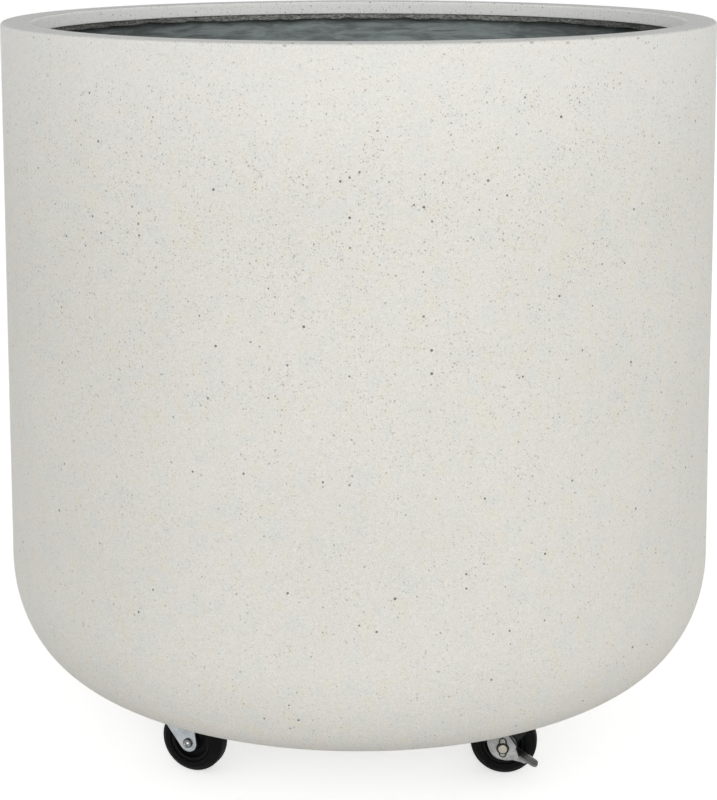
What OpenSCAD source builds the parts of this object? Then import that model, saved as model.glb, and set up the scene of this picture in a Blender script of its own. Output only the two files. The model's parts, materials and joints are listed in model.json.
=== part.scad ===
// Rolling planter: a round cast stone pot with a rolled-in rim and a fibre lining,
// on four swivel casters, two of them with a side brake.
// Millimetres, +Z up, origin on the floor under the centre of the pot.

/* [Pot] */
// Outside diameter of the pot at its rim
rim_d = 560; // [440:10:700]
// Height of the cast pot, without the casters
pot_h = 508; // [400:4:640]
// How much the radius grows from the rim down to the bottom curve
wall_swell = 3.5; // [0:0.5:6]
// Width of the rounded bottom corner, from the wall in to the flat base
corner_w = 56; // [48:1:70]
// Height of the rounded bottom corner
corner_h = 82; // [70:1:100]
// Thickness of the cast wall
stone_t = 8; // [6:0.5:12]
// Thickness of the cast base, which holds the casters' inserts
base_t = 16; // [15:0.5:24]
// Width of the rolled-in rim, from its outer edge to the mouth
lip_w = 23.5; // [20:0.5:44]
// Height of the rim's smooth inner face
lip_t = 11.5; // [8:0.5:18]
// Radius on the rim's edges
edge_r = 2.5; // [1:0.25:3.5]

/* [Lining] */
// Thickness of the fibre lining
lining_t = 4; // [2.5:0.25:6]
// Depth of the lining's raw edge under the rim
raw_edge_t = 5; // [3:0.5:8]
// How far the raw edge stands back from the mouth
raw_edge_back = 1; // [0.5:0.25:3]
// Resin line between the lining and the cast wall
bond_gap = 0.3; // [0.2:0.05:0.6]

/* [Drain] */
// Diameter of the drain hole in the cast base
drain_d = 22; // [16:1:30]
// Diameter of the drain plug's head
plug_head_d = 34; // [32:1:44]
// Gap round the soft drain plug
plug_gap = 0.3; // [0.2:0.05:0.5]
// Wall of the drain plug's hollow stem
plug_wall = 3; // [2:0.25:4]
// Ring groove on top of the plug's head: its width
plug_groove_w = 2; // [1:0.25:3]

/* [Caster layout] */
// Distance from the edge of the pot's flat base in to each top plate
caster_edge = 9.5; // [6:0.5:30]
// Distance from the swivel axis back to the axle
trail = 20; // [18:0.5:23]

/* [Top plate] */
// Length of the top plate, along the pot's edge
plate_l = 58; // [56:1:64]
// Width of the top plate, across the pot's edge
plate_w = 46; // [44:1:50]
// Thickness of the top plate
plate_t = 2; // [1.8:0.1:2.5]
// Corner radius of the top plate
plate_corner_r = 6; // [3:0.5:8]
// Distance between the screw holes along the plate
hole_pitch_l = 46; // [46:0.5:48]
// Distance between the screw holes across the plate
hole_pitch_w = 34; // [34:0.5:36]
// Clearance of the plate's holes round the screws, on the diameter
hole_clear = 0.5; // [0.2:0.1:1]

/* [Screws] */
// Diameter of the caster screws
screw_d = 6; // [5:0.5:6.5]
// Length of the screws under their heads
screw_l = 13; // [10:0.5:14]
// Diameter of the screw heads
screw_head_d = 10.5; // [9:0.5:11]
// Height of the screw heads
screw_head_h = 3; // [2.5:0.1:3.2]
// Hexagon socket in the heads, across the flats
socket_af = 4; // [3:0.5:5]
// Outside diameter of the inserts moulded into the base
insert_d = 10; // [9:0.5:12]
// Length of the inserts
insert_l = 13; // [12:0.5:14]

/* [Swivel] */
// Diameter of the swivel rivet
pin_d = 8; // [7:0.5:8.5]
// Diameter of the rivet's two heads
pin_head_d = 13; // [11:0.5:14]
// Diameter of the balls in the upper race
ball_d = 4; // [3.5:0.1:4.5]
// Radius of the upper race
race_r = 13.5; // [13.3:0.1:14]
// Number of balls in the upper race
balls = 18; // [12:1:18]
// Diameter of the balls in the lower race
small_ball_d = 3; // [2.5:0.1:3]
// Radius of the lower race
small_race_r = 7.2; // [7:0.1:7.4]
// Number of balls in the lower race
small_balls = 12; // [8:1:13]
// Depth of the race grooves
groove_t = 0.4; // [0.2:0.05:0.6]
// Running clearance of balls, axles and bores
play = 0.05; // [0.03:0.01:0.08]
// Thickness of the cup that carries the lower balls
cup_t = 1.2; // [1:0.1:1.5]
// Radius of that cup
cup_r = 9.6; // [9:0.1:10]

/* [Fork] */
// Thickness of the fork's steel
sheet_t = 1.8; // [1.5:0.1:2]
// Inside width of the fork
fork_gap = 20.4; // [19.6:0.2:21.4]
// Radius of the round end of each leg
leg_end_r = 7; // [6:0.25:8]
// Lean of the legs' edge towards the swivel, in degrees
leg_lean = 38; // [30:1:40]
// Lean of the legs' back edge, in degrees
back_lean = 8; // [4:1:14]
// Radius of the legs' back shoulder
shoulder_r = 9; // [7:0.5:11]
// Outside radius of the bend between legs and crown
bend_r = 3; // [2.2:0.1:4]
// Radius of the round crown that carries the races
crown_r = 17; // [16.4:0.1:17.6]
// How far the middle of the crown is pressed up
dome_h = 1.4; // [1:0.1:1.6]
// Gap between the wheel and the crown
crown_gap = 2.1; // [1.8:0.1:3]

/* [Wheel] */
// Diameter of the wheel over its tyre
wheel_d = 50.8; // [48:0.1:54]
// Width of the tyre
tyre_w = 18; // [16:0.5:18.6]
// Radius of the tyre's shoulders
tyre_round = 6.4; // [4:0.2:7.2]
// Diameter of the hub inside the tyre
hub_d = 33; // [30:0.5:34]
// Width of the hub's rim beside the tyre
hub_rim_w = 3; // [2.5:0.25:3.5]
// Thickness of the hub's web
web_t = 8; // [5:0.5:12]
// Radius of the hub's boss
boss_r = 7.5; // [7:0.25:8.5]
// Gap between the tyre and the hub, and at each end of the boss
hub_gap = 0.2; // [0.15:0.05:0.3]

/* [Axle] */
// Diameter of the axle rivet
axle_d = 6; // [5:0.5:6.5]
// Outside diameter of the sleeve round the axle
sleeve_d = 9; // [8:0.5:10]
// Diameter of the axle's factory head
axle_head_d = 10; // [9:0.5:11]
// Height of the axle's factory head
axle_head_h = 1.8; // [1.2:0.1:2.4]
// Diameter of the axle's rolled end on a caster without a brake
rolled_d = 7.6; // [7:0.1:8.6]
// Height of the axle's rolled end
rolled_h = 1.5; // [1:0.1:2]

/* [Brake] */
// Diameter of the cam washer between leg and lever
cam_d = 21.5; // [18:0.5:23]
// Thickness of the cam washer without its pads
cam_t = 1.6; // [1.2:0.1:2]
// Height of the cam pads on washer and lever
pad_h = 0.8; // [0.5:0.1:1.2]
// Outside diameter of the ring of cam pads
pad_ring_d = 14.4; // [13:0.1:15]
// Angle that each cam pad spans, in degrees
pad_span = 40; // [30:1:42]
// Number of pads on the washer and on the lever
pads = 3; // [2:1:4]
// Diameter of the peg that keeps the cam washer from turning
peg_d = 2; // [1.5:0.1:2.4]
// Radius of the lever's plate at its left and lower edge
lever_r = 15.1; // [14.5:0.1:15.6]
// Height of that edge's centre over the axle
lever_rise = 5.6; // [5.2:0.1:6]
// Distance of that edge's centre from the axle, sideways
lever_side = 3.2; // [2.8:0.1:3.6]
// Radius of the plate's upper edge round the axle
lever_top_r = 15; // [14.5:0.1:16]
// Thickness of the lever's steel
lever_t = 1.6; // [1.5:0.1:2]
// Depth of the key's recess in the lever
key_recess = 1; // [0.8:0.1:1.1]
// Thickness of the key on the axle's end
key_t = 1.2; // [1:0.1:1.6]
// Diameter of the key's round middle
key_d = 8; // [7.6:0.1:9]
// Length of the key over its two lobes
key_l = 14; // [13:0.1:14.6]
// Width of the key's lobes
key_lobe_w = 4.4; // [4:0.1:5]
// How much further the upper lobe reaches than the lower one, halved
key_rise = 0.6; // [0:0.1:1]
// Gap round the key in its recess
key_gap = 0.8; // [0.4:0.1:1]
// Drop of the plate's free edge above the pedal, in degrees
edge_drop = 55; // [50:1:58]
// Drop of the pedal while the brake is on, in degrees
pedal_drop = 33.5; // [30:0.5:37]
// Distance of the pedal's root from the axle, sideways
pedal_root_x = 10.4; // [9.8:0.1:11.5]
// Height of the pedal's root over the axle
pedal_root_h = 1.9; // [1.2:0.1:2.4]
// Distance of the lever's lower ear from the axle, sideways
ear_x = 16.5; // [15.5:0.25:18]
// Drop of that ear under the axle
ear_drop = 9; // [8.5:0.25:9.5]
// Radius of the ear's corner
ear_r = 2.3; // [2:0.1:2.8]
// Length of the pedal from its root to its tip
pedal_l = 19.8; // [17:0.1:22]
// How far the pedal stands out from the lever's plate
pedal_w = 11; // [9:0.5:13]
// Length over which the pedal widens from its root
pedal_flare = 3.5; // [2:0.5:5]
// Radius of the pedal's outer corner
pedal_round = 6; // [4:0.5:7]
// Radius of the pedal's corner at the plate
pedal_back_round = 2; // [1:0.5:3]

/* [Hidden] */
$fn = 96;
// Overlap of two volumes that are joined
tiny = 0.01;
// How far a straight edge starts inside the round that it leaves, so that the two cross
tuck = 0.02;
// How far a cut runs past the face that it opens
cut = 1;

// Casters: name, place round the pot, way that the wheel trails, brake, side of the axle's rolled end
casters = [
    ["front_left", 225, -19.5, false, -1],
    ["front_right", 315, 176, true, 1],
    ["back_left", 135, 62, true, 1],
    ["back_right", 45, 128, false, -1],
];
pot_pieces = ["planter_shell", "inner_lining", "drain_plug", "caster_inserts", "caster_screws"];
caster_pieces = ["top_plate", "swivel_rivet", "upper_balls", "lower_balls", "ball_cup",
                 "fork", "axle_sleeve", "axle_rivet", "wheel_hub", "tyre"];
brake_pieces = ["cam_washer", "brake_lever", "lever_key"];

// Heights of the caster's stack, from the floor up
wheel_r = wheel_d / 2;
crown_z = wheel_d + crown_gap;
crown_top = crown_z + sheet_t;
race_gap = ball_d + 2 * play - 2 * groove_t;
plate_z = crown_top + race_gap;
pot_z = plate_z + plate_t;
dome_top = crown_top + dome_h;
dome_under = dome_top - sheet_t;
seat_gap = 0.3;
boss_z = dome_top + seat_gap;
ball_z = crown_top - groove_t + play + ball_d / 2;
small_ball_z = dome_under + groove_t - play - small_ball_d / 2;
cup_top = small_ball_z - small_ball_d / 2 - play + groove_t;
cup_z = cup_top - cup_t;

// Pot
rim_z = pot_z + pot_h;
rim_r = rim_d / 2;
wall_r = rim_r + wall_swell;
mouth_r = rim_r - lip_w;
lip_z = rim_z - lip_t;
corner_z = pot_z + corner_h;
foot_r = wall_r - corner_w;
stone_floor_z = pot_z + base_t;
lining_in = stone_t + bond_gap;

// Caster
pin_r = pin_d / 2;
pin_head_h = plate_z - boss_z - play;
plate_recess_r = pin_head_d / 2 + play;
plate_boss_r = plate_recess_r + plate_t;
dome_r = race_r - ball_d / 2 - seat_gap;
cavity_r = small_race_r + small_ball_d / 2 + seat_gap;
fork_half = fork_gap / 2 + sheet_t;
axle_r = axle_d / 2;
sleeve_r = sleeve_d / 2;
hub_r = hub_d / 2;
boss_half = fork_gap / 2 - hub_gap;
pin_clear = 0.6;
pin_foot_h = 1.6;
pin_foot_d = pin_head_d - 1;
hub_inset = 1;
rolled_rim_w = rolled_d / 12;

// Brake stack, outwards from the leg
cam_y = fork_half + cam_t;
pad_y = cam_y + pad_h;
lever_pad_y = pad_y + play;
lever_y = lever_pad_y + pad_h;
key_y = lever_y + lever_t - key_recess;
key_top = key_y + key_t;
peg_out = (axle_r + leg_end_r) / 2;
pedal_root = [pedal_root_x, pedal_root_h];
pad_in = 1.2;
key_end_d = axle_d + 1.2;
// How far inside the ear's round the plate's straight edges start
ear_tuck = 0.2;
caster_circle_r = foot_r - plate_w / 2 - caster_edge;

function on_circle(r, a) = [r * cos(a), r * sin(a)];
function wall_at(z) = rim_r + wall_swell * (rim_z - edge_r - z) / (rim_z - edge_r - corner_z);

// ---- Pot

// Right half of the pot's outline, moved in by side_in at the wall and up by low_in at the base.
// Its corner is a quarter of an ellipse.
module pot_outline(side_in, low_in, high_z) {
    low_z = pot_z + low_in;
    polygon([[0, corner_z], [wall_r - side_in, corner_z], [wall_at(high_z) - side_in, high_z], [0, high_z]]);
    translate([0, low_z]) square([foot_r, corner_z - low_z]);
    intersection() {
        translate([foot_r, corner_z]) scale([corner_w - side_in, corner_h - low_in]) circle(1);
        translate([0, low_z]) square([wall_r, corner_z - low_z]);
    }
}

module lip_outline() {
    top_z = rim_z - edge_r;
    polygon([[mouth_r, lip_z], [wall_at(lip_z), lip_z], [rim_r, top_z], [mouth_r, top_z]]);
    translate([mouth_r + edge_r, top_z]) square([lip_w - 2 * edge_r, edge_r]);
    for (r = [mouth_r + edge_r, rim_r - edge_r]) translate([r, top_z]) circle(edge_r);
}

module planter_shell() color("#cfccc4") difference() {
    rotate_extrude() {
        difference() {
            pot_outline(0, 0, lip_z);
            pot_outline(stone_t, base_t, lip_z + cut);
        }
        lip_outline();
    }
    translate([0, 0, pot_z - cut]) cylinder(d = drain_d, h = base_t + 2 * cut);
    at_each_screw() translate([0, 0, pot_z - cut]) cylinder(d = insert_d + 2 * play, h = insert_l + cut);
}

module inner_lining() color("#6f7678") difference() {
    raw_z = lip_z - raw_edge_t;
    raw_r = mouth_r + raw_edge_back;
    rotate_extrude() {
        difference() {
            pot_outline(lining_in, base_t, lip_z);
            pot_outline(stone_t + lining_t, base_t + lining_t, lip_z + cut);
        }
        // the raw edge under the rim
        polygon([[raw_r, raw_z], [wall_at(raw_z) - lining_in, raw_z], [wall_at(lip_z) - lining_in, lip_z],
                 [raw_r, lip_z]]);
    }
    translate([0, 0, stone_floor_z - cut]) cylinder(d = plug_head_d + 2 * plug_gap, h = lining_t + 2 * cut);
}

module drain_plug() color("#3a3d40") {
    stem_r = drain_d / 2 - plug_gap;
    head_t = lining_t - play;
    translate([0, 0, stone_floor_z]) rotate_extrude() difference() {
        union() {
            square([plug_head_d / 2, head_t]);
            translate([0, -base_t]) square([stem_r, base_t]);
        }
        // hollow stem, and the ring groove that a finger nail lifts
        translate([0, -base_t - cut]) square([stem_r - plug_wall, base_t]);
        translate([stem_r, head_t]) circle(plug_groove_w / 2);
    }
}

// ---- Caster screws and inserts, one group each for all four casters

module at_each_screw() {
    for (c = casters) rotate(c[1]) translate([caster_circle_r, 0])
        for (x = [-1, 1], y = [-1, 1]) translate([x * hole_pitch_w / 2, y * hole_pitch_l / 2]) children();
}

module caster_inserts() color("#b9a36a") at_each_screw() translate([0, 0, pot_z]) difference() {
    cylinder(d = insert_d, h = insert_l);
    translate([0, 0, -cut]) cylinder(d = screw_d + 2 * play, h = insert_l + 2 * cut);
}

module caster_screws() color("#b8bcc0") at_each_screw() {
    translate([0, 0, plate_z]) cylinder(d = screw_d, h = screw_l);
    translate([0, 0, plate_z - screw_head_h]) difference() {
        cylinder(d1 = screw_head_d - screw_head_h, d2 = screw_head_d, h = screw_head_h);
        translate([0, 0, -cut]) cylinder(d = socket_af / cos(30), h = screw_head_h / 2 + cut, $fn = 6);
    }
}

// ---- Swivel: plate, rivet, two ball races and the cup under the fork

module race_groove(r, z, ball) {
    translate([0, 0, z]) rotate_extrude() translate([r, 0]) circle(ball / 2 + play);
}

module ball_ring(count, r, z, ball) {
    for (i = [0 : count - 1]) rotate(i * 360 / count) translate([r, 0, z]) sphere(d = ball);
}

module top_plate() color("#b4b8bb") difference() {
    union() {
        translate([0, 0, plate_z]) linear_extrude(plate_t) {
            square([plate_w, plate_l - 2 * plate_corner_r], center = true);
            square([plate_w - 2 * plate_corner_r, plate_l], center = true);
            for (x = [-1, 1], y = [-1, 1])
                translate([x * (plate_w / 2 - plate_corner_r), y * (plate_l / 2 - plate_corner_r)])
                    circle(plate_corner_r);
        }
        translate([0, 0, boss_z]) cylinder(r1 = plate_boss_r - (plate_z - boss_z), r2 = plate_boss_r,
                                           h = plate_z - boss_z);
    }
    translate([0, 0, boss_z + plate_t]) cylinder(r = plate_recess_r, h = plate_t);
    translate([0, 0, boss_z - cut]) cylinder(r = pin_r + play, h = plate_t + 2 * cut);
    race_groove(race_r, ball_z, ball_d);
    for (x = [-1, 1], y = [-1, 1]) translate([x * hole_pitch_w / 2, y * hole_pitch_l / 2, plate_z - cut])
        cylinder(d = screw_d + hole_clear, h = plate_t + 2 * cut);
}

module swivel_rivet() color("#9a9ea2") {
    translate([0, 0, cup_z]) cylinder(r = pin_r, h = boss_z + plate_t - cup_z);
    translate([0, 0, boss_z + plate_t]) cylinder(d = pin_head_d, h = pin_head_h);
    translate([0, 0, cup_z - pin_foot_h])
        cylinder(d1 = pin_foot_d - 2 * pin_foot_h, d2 = pin_foot_d, h = pin_foot_h);
}

module upper_balls() color("#d0d3d6") ball_ring(balls, race_r, ball_z, ball_d);

module lower_balls() color("#d0d3d6") ball_ring(small_balls, small_race_r, small_ball_z, small_ball_d);

module ball_cup() color("#a7abaf") difference() {
    translate([0, 0, cup_z]) cylinder(r = cup_r, h = cup_t);
    translate([0, 0, cup_z - cut]) cylinder(r = pin_r + play, h = cup_t + 2 * cut);
    race_groove(small_race_r, small_ball_z, small_ball_d);
}

// ---- Fork

// Lays a shape drawn in x and height upright, and runs it from y0 to y1
module upright(y0, y1) {
    translate([0, y1, 0]) rotate([90, 0, 0]) linear_extrude(y1 - y0) children();
}

module leg_outline() {
    axle = [trail, wheel_r];
    front = axle + on_circle(leg_end_r - tuck, 180 + leg_lean);
    back = axle + on_circle(leg_end_r - tuck, back_lean);
    front_top = [front[0] - (crown_top - front[1]) * tan(leg_lean), crown_top];
    // centre of the shoulder arc, which touches the back edge and the crown's top
    shoulder_z = crown_top - shoulder_r;
    shoulder_x = (axle * on_circle(1, back_lean) + leg_end_r - shoulder_r - sin(back_lean) * shoulder_z)
                 / cos(back_lean);
    shoulder = [shoulder_x, shoulder_z];
    translate(axle) circle(leg_end_r);
    translate(shoulder) circle(shoulder_r);
    polygon([front, axle, back, shoulder + on_circle(shoulder_r - tuck, back_lean), shoulder,
             shoulder + [0, shoulder_r], front_top]);
}

// Cross-section of the bent strap, in y and height
module strap_outline(half, r) {
    translate([-half, 0]) square([2 * half, crown_top - r]);
    translate([-half + r, 0]) square([2 * (half - r), crown_top]);
    for (s = [-1, 1]) translate([s * (half - r), crown_top - r]) circle(r);
}

module fork(brake) color("#aeb2b5") difference() {
    union() {
        intersection() {
            upright(-fork_half, fork_half) leg_outline();
            rotate([90, 0, 90]) translate([0, 0, -crown_top]) linear_extrude(3 * crown_top) difference() {
                strap_outline(fork_half, bend_r);
                translate([0, -sheet_t]) strap_outline(fork_half - sheet_t, bend_r - sheet_t);
            }
        }
        translate([0, 0, crown_z]) cylinder(r = crown_r, h = sheet_t);
        translate([0, 0, crown_top - tiny]) cylinder(r1 = dome_r, r2 = dome_r - dome_h / 4, h = dome_h + tiny);
    }
    translate([0, 0, crown_z - cut]) cylinder(r = cavity_r, h = dome_under - crown_z + cut);
    translate([0, 0, crown_z]) cylinder(r = pin_r + pin_clear, h = pot_z);
    race_groove(race_r, ball_z, ball_d);
    race_groove(small_race_r, small_ball_z, small_ball_d);
    translate([trail, 0, wheel_r]) rotate([90, 0, 0]) {
        cylinder(r = axle_r + play, h = 3 * fork_half, center = true);
    }
    if (brake) translate([trail, 0, wheel_r + peg_out]) rotate([-90, 0, 0])
        cylinder(d = peg_d + 2 * play, h = 2 * fork_half);
}

// ---- Axle and wheel, drawn round the axle and turned upright

// Moves a shape drawn about the z axis onto the axle, with z along +y
module on_axle() {
    translate([trail, 0, wheel_r]) rotate([-90, 0, 0]) children();
}

module axle_sleeve() color("#9a9ea2") on_axle() difference() {
    cylinder(r = sleeve_r, h = fork_gap, center = true);
    cylinder(r = axle_r + play, h = fork_gap + 2 * cut, center = true);
}

// Rolled end of the rivet: a rim round a sunk ring, with a small dome in the middle
module rolled_end() {
    inner_d = rolled_d - 2 * rolled_rim_w;
    difference() {
        cylinder(d = rolled_d, h = rolled_h);
        translate([0, 0, rolled_h / 3]) difference() {
            cylinder(d1 = inner_d - 2 * rolled_rim_w, d2 = inner_d, h = rolled_h);
            translate([0, 0, -cut]) cylinder(d = rolled_d / 3, h = rolled_h + 2 * cut);
        }
    }
}

module axle_rivet(brake) color("#9a9ea2") {
    end_y = brake ? key_top : fork_half;
    on_axle() {
        translate([0, 0, -fork_half]) cylinder(r = axle_r, h = fork_half + end_y);
        translate([0, 0, -fork_half - axle_head_h])
            cylinder(d1 = axle_head_d - axle_head_h, d2 = axle_head_d, h = axle_head_h);
        translate([0, 0, end_y]) {
            if (brake) cylinder(d1 = key_end_d, d2 = key_end_d - rolled_h / 2, h = rolled_h);
            else rolled_end();
        }
    }
}

module wheel_hub() color("#1d1e20") on_axle() rotate_extrude() {
    rim_in = hub_r - hub_rim_w;
    rim_half = tyre_w / 2 - hub_inset;
    bore = sleeve_r + play;
    translate([bore, -boss_half]) square([boss_r - bore, 2 * boss_half]);
    translate([bore, -web_t / 2]) square([hub_r - bore, web_t]);
    translate([rim_in, -rim_half]) square([hub_rim_w, 2 * rim_half]);
}

module tyre() color("#17181a") on_axle() rotate_extrude() {
    bore = hub_r + hub_gap / 2;
    half = tyre_w / 2;
    round_c = [wheel_r - tyre_round, half - tyre_round];
    translate([bore, -half]) square([round_c[0] - bore, tyre_w]);
    translate([bore, -round_c[1]]) square([wheel_r - bore, 2 * round_c[1]]);
    for (s = [-1, 1]) intersection() {
        translate([round_c[0], s * round_c[1]]) circle(tyre_round);
        translate([bore, -half]) square([tyre_w, tyre_w]);
    }
}

// ---- Side brake

// Ring of pads, as sectors between two radii
module cam_pads(h) {
    inner = axle_r + pad_in;
    outer = pad_ring_d / 2;
    for (i = [0 : pads - 1]) rotate(i * 360 / pads - pad_span / 2)
        rotate_extrude(angle = pad_span) translate([inner, 0]) square([outer - inner, h]);
}

module cam_washer() color("#8f9396") on_axle() {
    translate([0, 0, fork_half]) difference() {
        cylinder(d = cam_d, h = cam_t);
        translate([0, 0, -cut]) cylinder(r = axle_r + play, h = cam_t + 2 * cut);
    }
    translate([0, 0, cam_y]) cam_pads(pad_h);
    // the peg that sits in the leg
    translate([0, -peg_out, fork_half - sheet_t]) cylinder(d = peg_d, h = sheet_t);
}

// Outline of the key: a round middle with a lobe above and below, grown by a gap
module key_outline(gap) {
    lobe_r = key_lobe_w / 2 + gap;
    circle(d = key_d + 2 * gap);
    translate([0, key_rise]) {
        square([2 * lobe_r, key_l - key_lobe_w], center = true);
        for (s = [-1, 1]) translate([0, s * (key_l - key_lobe_w) / 2]) circle(lobe_r);
    }
}

// The lever's plate, seen from outside: x towards the swivel's side, height up
module lever_outline() {
    ear = [ear_x, -ear_drop];
    ear_in = ear_r - ear_tuck;
    far = 2 * lever_r;
    intersection() {
        translate([lever_side, lever_rise]) circle(lever_r);
        circle(lever_top_r);
        // what lies below the free edge
        translate(pedal_root) rotate(-edge_drop) translate([-far, -far]) square([2 * far, far]);
    }
    translate(ear) circle(ear_r);
    polygon([pedal_root, pedal_root + on_circle(ear[0] + ear_r - pedal_root[0], -pedal_drop),
             ear + [ear_in, 0], ear, ear - [0, ear_in], [lever_side, lever_rise - lever_r + lever_t], [0, 0]]);
}

// The pedal before it is placed: x along it from its root, y out from the back of the plate
module pedal_outline() {
    w = lever_t + pedal_w;
    polygon([[0, 0], [0, lever_t], [pedal_flare, w], [pedal_l - pedal_round, w], [pedal_l - pedal_round, 0]]);
    translate([pedal_flare, 0]) square([pedal_l - pedal_flare - pedal_back_round, w - pedal_round]);
    translate([pedal_flare, pedal_back_round])
        square([pedal_l - pedal_flare, w - pedal_round - pedal_back_round]);
    translate([pedal_l - pedal_round, w - pedal_round]) circle(pedal_round);
    translate([pedal_l - pedal_back_round, pedal_back_round]) circle(pedal_back_round);
}

module brake_lever() color("#c2c4c5") {
    difference() {
        // drawn as seen from outside, then turned so that its outer side faces +y
        translate([trail, lever_y, wheel_r]) rotate([90, 0, 180]) {
            linear_extrude(lever_t) lever_outline();
            translate(pedal_root) rotate(-pedal_drop) rotate([90, 0, 0]) linear_extrude(lever_t) pedal_outline();
        }
        translate([trail, key_y, wheel_r]) rotate([90, 0, 180]) linear_extrude(lever_t) key_outline(key_gap);
        on_axle() cylinder(r = axle_r + play, h = 2 * key_top);
    }
    on_axle() translate([0, 0, lever_pad_y]) cam_pads(pad_h);
}

module lever_key() color("#c9cbcb") difference() {
    translate([trail, key_y, wheel_r]) rotate([90, 0, 180]) linear_extrude(key_t) key_outline(0);
    on_axle() cylinder(r = axle_r + play, h = 2 * key_top);
}

// ---- Placing

// Turns a caster's fixed pieces to the pot's edge
module fixed_at(c) {
    rotate(c[1]) translate([caster_circle_r, 0]) children();
}

// Turns what swivels so that its wheel trails as it stands
module swivel_at(c) {
    rotate(c[1]) translate([caster_circle_r, 0]) rotate(c[2] - c[1]) mirror([0, c[4] < 0 ? 1 : 0, 0]) children();
}

planter_shell();
inner_lining();
drain_plug();
caster_inserts();
caster_screws();
for (c = casters) {
    fixed_at(c) top_plate();
    fixed_at(c) swivel_rivet();
    fixed_at(c) ball_cup();
    swivel_at(c) upper_balls();
    swivel_at(c) lower_balls();
    swivel_at(c) fork(c[3]);
    swivel_at(c) axle_sleeve();
    swivel_at(c) axle_rivet(c[3]);
    swivel_at(c) wheel_hub();
    swivel_at(c) tyre();
    if (c[3]) {
        swivel_at(c) cam_washer();
        swivel_at(c) brake_lever();
        swivel_at(c) lever_key();
    }
}
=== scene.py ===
import json
import math

import bmesh
import bpy
import numpy as np
from mathutils import Euler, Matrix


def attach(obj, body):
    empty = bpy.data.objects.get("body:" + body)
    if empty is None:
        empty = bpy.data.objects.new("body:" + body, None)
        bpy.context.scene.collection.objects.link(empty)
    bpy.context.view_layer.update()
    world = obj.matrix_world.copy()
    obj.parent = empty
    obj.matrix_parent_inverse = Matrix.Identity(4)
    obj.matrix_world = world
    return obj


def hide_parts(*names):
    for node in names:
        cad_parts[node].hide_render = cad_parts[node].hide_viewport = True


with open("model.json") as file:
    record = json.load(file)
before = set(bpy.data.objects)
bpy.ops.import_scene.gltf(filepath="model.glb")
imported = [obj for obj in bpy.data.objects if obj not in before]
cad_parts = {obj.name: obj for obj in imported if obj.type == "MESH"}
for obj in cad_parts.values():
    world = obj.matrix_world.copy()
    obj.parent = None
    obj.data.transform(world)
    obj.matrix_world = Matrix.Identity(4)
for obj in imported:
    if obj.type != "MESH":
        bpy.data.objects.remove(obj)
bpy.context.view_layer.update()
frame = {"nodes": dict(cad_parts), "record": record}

nodes = frame["nodes"]
mm = 0.001
print("frame loaded,", len(nodes), "nodes")


# The camera, fitted to the rim and the outline in the photograph
view = {
    "distance": 1.484,      # level, from the pot's axis
    "turn": 3.11,           # degrees to the right of straight on
    "height": 0.656,
    "pitch": 0.1672,        # radians down
    "roll": -0.00154,       # radians
    "lens": 83.745,
    "shiftX": -0.00075,
    "shiftY": -0.2258,
}


def makeCamera():
    data = bpy.data.cameras.new("camera")
    data.lens = view["lens"]
    data.shift_x = view["shiftX"]
    data.shift_y = view["shiftY"]
    data.clip_start = 0.05
    data.clip_end = 50
    cam = bpy.data.objects.new("camera", data)
    bpy.context.scene.collection.objects.link(cam)
    turn = math.radians(view["turn"])
    cam.location = (view["distance"] * math.sin(turn), -view["distance"] * math.cos(turn), view["height"])
    aim = Euler((math.pi / 2 - view["pitch"], 0, turn)).to_matrix() @ Euler((0, 0, view["roll"])).to_matrix()
    cam.rotation_euler = aim.to_euler()
    bpy.context.scene.camera = cam


makeCamera()
print("camera set")


# A shader socket that takes part in Python expressions: each one adds its Math nodes
class Socket:
    def __init__(self, finish, link):
        self.finish = finish
        self.link = link

    def maths(self, operation, *others):
        return self.finish.node("Math", {"operation": operation}, dict(enumerate((self,) + others)))

    def __add__(self, other):
        return self.maths("ADD", other)

    def __radd__(self, other):
        return self.maths("ADD", other)

    def __sub__(self, other):
        return self.maths("SUBTRACT", other)

    def __rsub__(self, other):
        return self.finish.node("Math", {"operation": "SUBTRACT"}, {0: other, 1: self})

    def __mul__(self, other):
        return self.maths("MULTIPLY", other)

    def __rmul__(self, other):
        return self.maths("MULTIPLY", other)

    def __pow__(self, other):
        return self.maths("POWER", other)

    def over(self, edge):
        return self.maths("GREATER_THAN", edge)

    def under(self, edge):
        return self.maths("LESS_THAN", edge)

    def most(self, other):
        return self.maths("MAXIMUM", other)

    def least(self, other):
        return self.maths("MINIMUM", other)

    def size(self):
        return self.maths("ABSOLUTE")

    # 0 below low, 1 above high, eased between them
    def eased(self, low, high):
        ends = {"Value": self, "From Min": low, "From Max": high, "To Min": 0.0, "To Max": 1.0}
        return self.finish.node("MapRange", {"interpolation_type": "SMOOTHSTEP"}, ends)


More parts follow.
